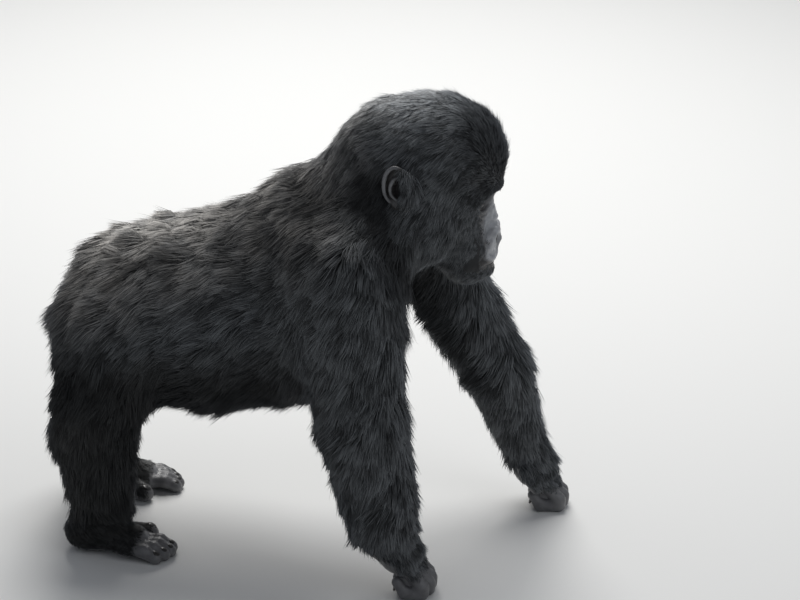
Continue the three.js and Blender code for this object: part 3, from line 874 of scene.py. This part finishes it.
def grow(count):
    """Picks the roots: where they are, and every value that a tuft takes from the skin there."""
    a, b, c = (shape.p[shape.tris[:, i]] for i in range(3))
    area = length(np.cross(b - a, c - a)) / 2
    weight = area * crowd_at[shape.tris].mean(axis=1)
    edges = np.cumsum(weight)
    picks = (np.arange(count) + rng.uniform(0, 1, count)) / count * edges[-1]
    tri = np.minimum(np.searchsorted(edges, picks), len(edges) - 1)
    u, v = rng.uniform(0, 1, (2, count))
    over = u + v > 1
    u[over], v[over] = 1 - u[over], 1 - v[over]
    bary = np.stack((1 - u - v, u, v), axis=1)

    def at(values):
        return (values[shape.tris[tri]] * bary.reshape(count, 3, *[1] * (values.ndim - 1))).sum(axis=1)

    loops = read(skin.data.loop_triangles, "loops", 3)[tri]
    corner_uv = read(skin.data.uv_layers["OFBake"].data, "uv", 2, np.float32)[loops]
    return dict(root=at(shape.p), normal=unit(at(normal)), flow=unit(at(flow)), length=at(length_at),
                thick=at(thick_at), lift=at(lift_at), painted_light=at(painted_light), clump=at(clump_at),
                uv=(corner_uv * bary[:, :, None]).sum(axis=1), region=region[shape.tris[tri, 0]])


skin.data.calc_loop_triangles()
roots = grow(TUFTS)


def nearest(points, among):
    tree = kdtree.KDTree(len(among))
    for i, place in enumerate(among):
        tree.insert(place, i)
    tree.balance()
    return np.array([tree.find(place)[1] for place in points])


def rotate(v, axis, angle):
    c, s = np.cos(angle)[:, None], np.sin(angle)[:, None]
    return v * c + np.cross(axis, v) * s + axis * (axis * v).sum(axis=1, keepdims=True) * (1 - c)


LOWER, UPPER = 0.42, 0.58  # the shares of a tuft's length below and above its bend
STRAYS = 0.2  # the share of tufts that stand out from the rest
BIG_LOCK, SMALL_LOCK = (46, 0.42), (9, 0.5)  # one leader for so many tufts, and how far it draws them
FLOOR_GAP = 1.2


def strands(r):
    """Each tuft's line: its root, its bend and its tip."""
    n = len(r["root"])
    root, out = r["root"], r["normal"]
    swirl = 0.24 * waves(root, 34, 1) + 0.2 * waves(root, 12, 2)
    along = rotate(r["flow"], out, swirl * r["clump"] ** 0.5 + rng.normal(0, 0.15, n))
    size = r["length"] * (1 + 0.16 * waves(root, 26, 3) + 0.10 * waves(root, 9, 4))
    size *= rng.uniform(0.72, 1.12, n)
    stray = rng.uniform(0, 1, n) < STRAYS
    size *= 1 + 0.16 * stray * r["clump"]
    lift = r["lift"] * (1 + 0.24 * waves(root, 15, 5)) + rng.normal(0, 6, n) * r["clump"] ** 0.5
    lift = np.radians(lift + stray * 13 * r["clump"])
    start = along * np.cos(lift)[:, None] + out * np.sin(lift)[:, None]
    late = lift * (0.36 + 0.26 * stray)
    end = along * np.cos(late)[:, None] + out * np.sin(late)[:, None] - UP * 0.16
    base = root - out * 0.7
    bend = base + start * (size * LOWER)[:, None]
    tip = bend + unit(end) * (size * UPPER)[:, None]
    return base, bend, tip, stray, out


def gathered(root, bend, tip, every, pull):
    """Draws the tips together into locks, each round one tuft of its own."""
    n = len(root)
    leaders = rng.permutation(n)[: max(n // every, 1)]
    leader = leaders[nearest(root, root[leaders])]
    apart = root - root[leader]
    strength = (pull * rng.uniform(0.5, 1.0, n) * roots["clump"])[:, None]
    tip = tip + (tip[leader] + apart * 0.15 - tip) * strength
    bend = bend + (bend[leader] + apart * 0.7 - bend) * strength * 0.5
    return bend, tip, leader


base, bend, tip, stray, out = strands(roots)
bend, tip, big_lock = gathered(base, bend, tip, *BIG_LOCK)
bend, tip, small_lock = gathered(base, bend, tip, *SMALL_LOCK)
for line in (bend, tip):
    line[:, 2] = np.maximum(line[:, 2], FLOOR_GAP)

lock_shade = rng.uniform(0, 1, len(base))
shade = 0.3 * lock_shade[big_lock] + 0.35 * lock_shade[small_lock] + 0.35 * rng.uniform(0, 1, len(base))
half = roots["thick"] / 2 * rng.uniform(0.8, 1.2, len(base)) * (1 - 0.42 * stray)

PATCH = 0.003  # the side of each tuft's place on the map
PLUSH = 0.62  # how far the light on a tuft follows the skin under it, which makes the coat look soft


def label(mesh, name, values):
    """Gives a mesh a value at each corner, for its material to read."""
    made = mesh.attributes.new(name, "FLOAT", "POINT")
    made.data.foreach_set("value", values.astype(np.float32))


def tuft_piece(name, chosen):
    """One mesh of closed tufts: each a point at the root, three corners at the bend, and the tip."""
    n = len(chosen)
    b, m, t, w = base[chosen], bend[chosen], tip[chosen], half[chosen][:, None]
    lie = unit(t - b)
    across = unit(np.cross(out[chosen], lie))
    up = unit(np.cross(lie, across))
    points = np.stack((b, m - across * w, m + across * w, m + up * w, t), axis=1).reshape(-1, 3)
    corners = np.array(((0, 1, 3), (0, 3, 2), (0, 2, 1), (4, 3, 1), (4, 2, 3), (4, 1, 2))).ravel()
    loops = ((np.arange(n) * 5)[:, None] + corners).ravel()
    mesh = bpy.data.meshes.new(name)
    mesh.vertices.add(n * 5)
    mesh.vertices.foreach_set("co", to_metres(points).astype(np.float32).ravel())
    mesh.loops.add(len(loops))
    mesh.loops.foreach_set("vertex_index", loops.astype(np.int32))
    mesh.polygons.add(n * 6)
    mesh.polygons.foreach_set("loop_start", (np.arange(n * 6) * 3).astype(np.int32))
    mesh.update(calc_edges=True)
    mesh.validate()
    mesh.shade_smooth()
    own = np.stack((out[chosen], -across, across, up, out[chosen]), axis=1)
    soft = unit(own * (1 - PLUSH) + out[chosen][:, None] * PLUSH).reshape(-1, 3)
    mesh.normals_split_custom_set_from_vertices(soft.astype(np.float32))
    place = np.array(((0, -0.5), (-0.5, -0.1), (0.5, -0.1), (0, 0.1), (0, 0.5)))
    uv = roots["uv"][chosen][:, None] + place * PATCH
    layer = mesh.uv_layers.new(name="OFBake")
    layer.data.foreach_set("uv", uv.reshape(-1, 2)[loops].astype(np.float32).ravel())
    label(mesh, "along", np.tile((0, LOWER, LOWER, LOWER, 1), n))
    label(mesh, "shade", np.repeat(shade[chosen], 5))
    # each tuft takes the painted light and shade of the skin at its root
    label(mesh, "painted_light", np.repeat(roots["painted_light"][chosen], 5))
    return placed(name, mesh)


MOST = 33000  # tufts in one piece
COATS = {"head": (*HEAD_NODES, "ear")} | {name: (name,) for name in ("neck", "chest", "belly", "pelvis")}
for limb, kinds in (("arm", ("upper_arm", "forearm", "hand")), ("leg", ("thigh", "shin", "foot"))):
    for letter in "RL":
        COATS[f"{limb}_{letter}"] = tuple(f"{kind}_{letter}" for kind in kinds)
coats = []
for name, starts in COATS.items():
    nodes = [i for i, node in enumerate(FLESH) if node.startswith(starts)]
    chosen = np.flatnonzero(np.isin(roots["region"], nodes))
    parts = np.array_split(chosen, max(1, -(-len(chosen) // MOST)))
    for number, part in enumerate(parts):
        coats.append(tuft_piece(f"coat_{name}" + (f"_{number + 1}" if len(parts) > 1 else ""), part))

# ---------------- materials


class Tree:
    """A material's nodes, made and joined by short calls."""

    def __init__(self, name):
        self.material = bpy.data.materials.new(name)
        self.material.use_nodes = True
        self.tree = self.material.node_tree
        self.shader = self.tree.nodes["Principled BSDF"]

    def feed(self, socket, value):
        """Joins an output to a socket, or sets the socket's own value."""
        if isinstance(value, bpy.types.NodeSocket):
            self.tree.links.new(value, socket)
        else:
            socket.default_value = value

    def add(self, kind, inputs=(), **settings):
        node = self.tree.nodes.new("ShaderNode" + kind)
        for key, value in settings.items():
            setattr(node, key, value)
        for key, value in dict(inputs).items():
            self.feed(node.inputs[key], value)
        return node

    def math(self, operation, a, b=0.0, clamp=False):
        return self.add("Math", {0: a, 1: b}, operation=operation, use_clamp=clamp).outputs[0]

    def times(self, a, b):
        return self.math("MULTIPLY", a, b)

    def ramp(self, value, low, high, to_low=0.0, to_high=1.0):
        return self.add("MapRange", {0: value, 1: low, 2: high, 3: to_low, 4: to_high},
                        interpolation_type="SMOOTHSTEP").outputs[0]

    def mix(self, factor, a, b, blend_type="MIX"):
        return self.add("Mix", {0: factor, 6: a, 7: b}, data_type="RGBA", blend_type=blend_type).outputs[2]

    def dimmed(self, colour, gain):
        """A colour times a number."""
        grey = self.add("CombineColor", {0: gain, 1: gain, 2: gain}).outputs[0]
        return self.mix(1.0, colour, grey, "MULTIPLY")

    def noise(self, at, scale, detail=3.0, roughness=0.55):
        inputs = {"Vector": at, "Scale": scale, "Detail": detail, "Roughness": roughness}
        return self.add("TexNoise", inputs).outputs["Fac"]

    def attribute(self, name):
        return self.add("Attribute", attribute_name=name).outputs["Fac"]

    def set(self, **inputs):
        for key, value in inputs.items():
            self.feed(self.shader.inputs[key.replace("_", " ")], value)


# the coat's black, whose faint blue is a painted sky reflection
BLACK_WITH_SKY_BLUE = (0.072, 0.0765, 0.0800, 1)
# the back's brown tinge, made much lighter as painted top light
BROWN_BLACK_TOP_LIT = (0.172, 0.164, 0.153, 1)
# the legs' black, made darker as painted shade under the body
LEG_BLACK_SHADED = (0.016, 0.0165, 0.0165, 1)
# the bare skin's dark tone, and the light grey that gives it its grey and its painted sheen
SKIN_DARK, SKIN_GREY_AND_SHEEN = (0.030, 0.027, 0.027, 1), (0.420, 0.430, 0.448, 1)
BLACK = (0.001, 0.001, 0.001, 1)


def markings_and_painted_light(t):
    """The coat's colour by place: brownish on the back with painted top light, black on the legs with painted
    shade, times its painted light and shade.
    """
    at = t.add("TexCoord").outputs["Object"]
    parts = t.add("SeparateXYZ", {0: at}).outputs
    above = t.math("SUBTRACT", parts[2], t.times(parts[0], 0.38))
    # the back's own brown tinge, strongest high along its top, where it is painted top light
    back = t.times(t.ramp(parts[0], 0.13, -0.02), t.ramp(above, 0.34, 0.46))
    mottle = t.ramp(t.noise(at, 26), 0.35, 0.7, -0.3, 0.3)
    back = t.math("ADD", back, t.times(mottle, back), clamp=True)
    body = t.mix(back, BLACK_WITH_SKY_BLUE, BROWN_BLACK_TOP_LIT)
    # low and to the rear the coat turns black, as painted shade under the body
    low = t.times(t.ramp(parts[2], 0.31, 0.22), t.ramp(parts[0], 0.10, -0.04))
    return t.dimmed(t.mix(low, body, LEG_BLACK_SHADED), t.attribute("painted_light")), at


def coat_material():
    t = Tree("coat")
    colour, _ = markings_and_painted_light(t)
    shade, along = t.attribute("shade"), t.attribute("along")
    # painted shade darkens each tuft toward its root, and it is lighter toward its tip
    gain = t.times(t.ramp(shade, 0.2, 0.8, 0.4, 1.95), t.ramp(along, 0.0, 1.0, 0.45, 1.4))
    t.set(Base_Color=t.dimmed(colour, gain), Roughness=0.5, Specular_IOR_Level=0.2,
          Sheen_Weight=0.12, Sheen_Roughness=0.5, Sheen_Tint=(0.8, 0.87, 1.0, 1))
    return t.material


def skin_material():
    """Wrinkled grey skin with painted sheen and shade where it is bare, and nearly black skin with the coat's
    colour and painted light under the coat.
    """
    t = Tree("bare_skin")
    colour, at = markings_and_painted_light(t)
    bare_place = t.attribute("bare")
    patch = t.noise(at, 90, 5)
    tone = t.mix(t.ramp(t.attribute("tone_and_painted_light"), 0.0, 1.2), SKIN_DARK, SKIN_GREY_AND_SHEEN)
    tone = t.mix(t.ramp(patch, 0.35, 0.7, 0.0, 0.3), tone, (0.018, 0.016, 0.016, 1))
    t.set(Base_Color=t.mix(bare_place, t.mix(0.6, colour, BLACK), tone))
    cells = t.add("TexVoronoi", {"Vector": at, "Scale": 900.0}, feature="DISTANCE_TO_EDGE")
    pores = t.ramp(cells.outputs[0], 0.0, 0.18)
    folds = t.noise(at, 420, 4)
    bump_height = t.math("ADD", t.times(pores, 0.25), t.times(folds, 0.9))
    bump = t.add("Bump", {"Strength": 0.4, "Distance": 0.0005, "Height": bump_height})
    rough = t.ramp(patch, 0.3, 0.75, 0.32, 0.48)
    rough = t.math("ADD", rough, t.ramp(bare_place, 0.0, 1.0, 0.4, 0.0), clamp=True)
    t.set(Normal=bump.outputs[0], Roughness=rough, Specular_IOR_Level=0.45)
    return t.material


def eye_material():
    t = Tree("eye")
    ring = t.attribute("gaze")  # 0 in the middle of the pupil, 1 at the back
    iris = t.mix(t.ramp(ring, 0.11, 0.22), (0.027, 0.010, 0.005, 1), (0.010, 0.005, 0.004, 1))
    colour = t.mix(t.ramp(ring, 0.085, 0.095), BLACK, iris)
    colour = t.mix(t.ramp(ring, 0.22, 0.25), colour, (0.008, 0.006, 0.005, 1))
    t.set(Base_Color=colour, Roughness=0.18, Specular_IOR_Level=0.2, Coat_Weight=0.28, Coat_Roughness=0.03)
    return t.material


coat_look, skin_look, eye_look = coat_material(), skin_material(), eye_material()
for coat in coats:
    coat.data.materials.append(coat_look)
    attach(coat, "root")

# the skin's bare places, its painted light and shade, and its grey tone with painted sheen and shade
for name, values in (("bare", bare), ("painted_light", painted_light), ("tone_and_painted_light", tone_and_painted_light)):
    label(skin.data, name, values)
skin.data.materials.clear()
skin.data.materials.append(skin_look)
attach(skin, "root")
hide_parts(*FLESH)

# ---------------- eyes

gaze = Vector((0, 0, 1)).rotation_difference(Vector(FORWARD))
CORNEA_RISE, CORNEA_WIDE = 0.07, 0.17
for letter in "RL":
    bm = bmesh.new()
    bmesh.ops.create_uvsphere(bm, u_segments=48, v_segments=32, radius=1.0)
    layer = bm.verts.layers.float.new("gaze")
    for v in bm.verts:
        off = math.acos(max(-1, min(1, v.co.z))) / math.pi
        v[layer] = off
        bulge = 1 + CORNEA_RISE * math.exp(-((off / CORNEA_WIDE) ** 4))
        v.co = gaze @ (v.co * (EYE_RADIUS / 1000 * bulge)) + Vector(eyes_at[letter])
    ball = from_bmesh(f"eyeball_{letter}", bm, eye_look)
    ball.data.shade_smooth()
    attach(ball, "root")
    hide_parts(f"eye_{letter}")

# ---------------- nails

NAIL_RINGS, NAIL_SIDES = 8, 14


def add_nail(bm, limb, middle, half, tip):
    """A nail, as a flat pebble in a digit: its middle, half sizes and tip forward, in the limb's frame."""
    made = bmesh.ops.create_uvsphere(bm, u_segments=NAIL_SIDES, v_segments=NAIL_RINGS, radius=1.0)["verts"]
    p = np.array([v.co for v in made]) * half
    c, s = math.cos(tip), math.sin(tip)
    p = np.stack((c * p[:, 0] + s * p[:, 2], p[:, 1], c * p[:, 2] - s * p[:, 0]), axis=1) + middle
    for vert, to in zip(made, to_metres(out_of(p, limb))):
        vert.co = to


bm = bmesh.new()
for foot in FEET:
    side = foot["side"]
    for place, reach in TOES:
        add_nail(bm, foot, (reach + 1.5, side * place * DIGIT_WIDTH, 13.0), (6.0, 4.8, 2.2), 0.55)
    add_nail(bm, foot, (54, -side * 41, 18.0), (7.0, 6.2, 2.4), 0.5)
for hand in HANDS:
    side = hand["side"]
    for place, _ in FINGERS:
        add_nail(bm, hand, (-15.0, side * place * DIGIT_WIDTH * 0.95, 13.5), (2.0, 4.6, 5.2), 0.35)
    add_nail(bm, hand, (-2.5, -side * 34, 33), (2.0, 4.2, 5.4), -0.3)
t = Tree("nail")
t.set(Base_Color=(0.022, 0.020, 0.019, 1), Roughness=0.33, Specular_IOR_Level=0.5)
nails = from_bmesh("nails", bm, t.material)
nails.data.shade_smooth()
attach(nails, "root")

# ---------------- floor, light and camera

TARGET = Vector((0.1197, 0.0138, 0.3138))
AZIMUTH, ELEVATION = math.radians(9), math.radians(22)
DISTANCE, WIDTH, SENSOR = 4.0, 0.960, 36
FLOOR_RADIUS, FLOOR_DROP = 14, 0.0003

bm = bmesh.new()
bmesh.ops.create_circle(bm, cap_ends=True, segments=96, radius=FLOOR_RADIUS)
t = Tree("floor")
t.set(Base_Color=(0.74, 0.74, 0.73, 1), Roughness=0.85, Specular_IOR_Level=0.2)
floor = from_bmesh("floor", bm, t.material)
floor.location.z = -FLOOR_DROP

world = bpy.data.worlds.new("studio")
world.use_nodes = True
sky = world.node_tree.nodes["Background"].inputs
sky["Color"].default_value = (0.86, 0.91, 1.0, 1)
sky["Strength"].default_value = 0.24
bpy.context.scene.world = world


def area_light(name, at, size, watts, colour):
    data = bpy.data.lights.new(name, "AREA")
    data.shape, data.size, data.energy, data.color = "DISK", size, watts, colour
    lamp = placed(name, data)
    lamp.location = at
    lamp.rotation_euler = (TARGET - Vector(at)).to_track_quat("-Z", "Y").to_euler()


area_light("above", (0.0, 1.1, 2.6), 1.6, 42, (1.0, 0.995, 0.98))
area_light("front", (2.4, -1.2, 1.9), 2.2, 12, (0.97, 0.98, 1.0))
area_light("behind", (-0.5, 2.4, 2.1), 1.5, 46, (1.0, 0.985, 0.96))

camera_data = bpy.data.cameras.new("camera")
camera_data.sensor_width = SENSOR
camera_data.lens = SENSOR * DISTANCE / WIDTH
camera = placed("camera", camera_data)
back = Vector((math.sin(AZIMUTH) * math.cos(ELEVATION), -math.cos(AZIMUTH) * math.cos(ELEVATION),
               math.sin(ELEVATION)))
camera.location = TARGET + back * DISTANCE
camera.rotation_mode = "QUATERNION"
camera.rotation_quaternion = (-back).to_track_quat("-Z", "Y")
bpy.context.scene.camera = camera
bpy.context.scene.view_settings.view_transform = "Standard"
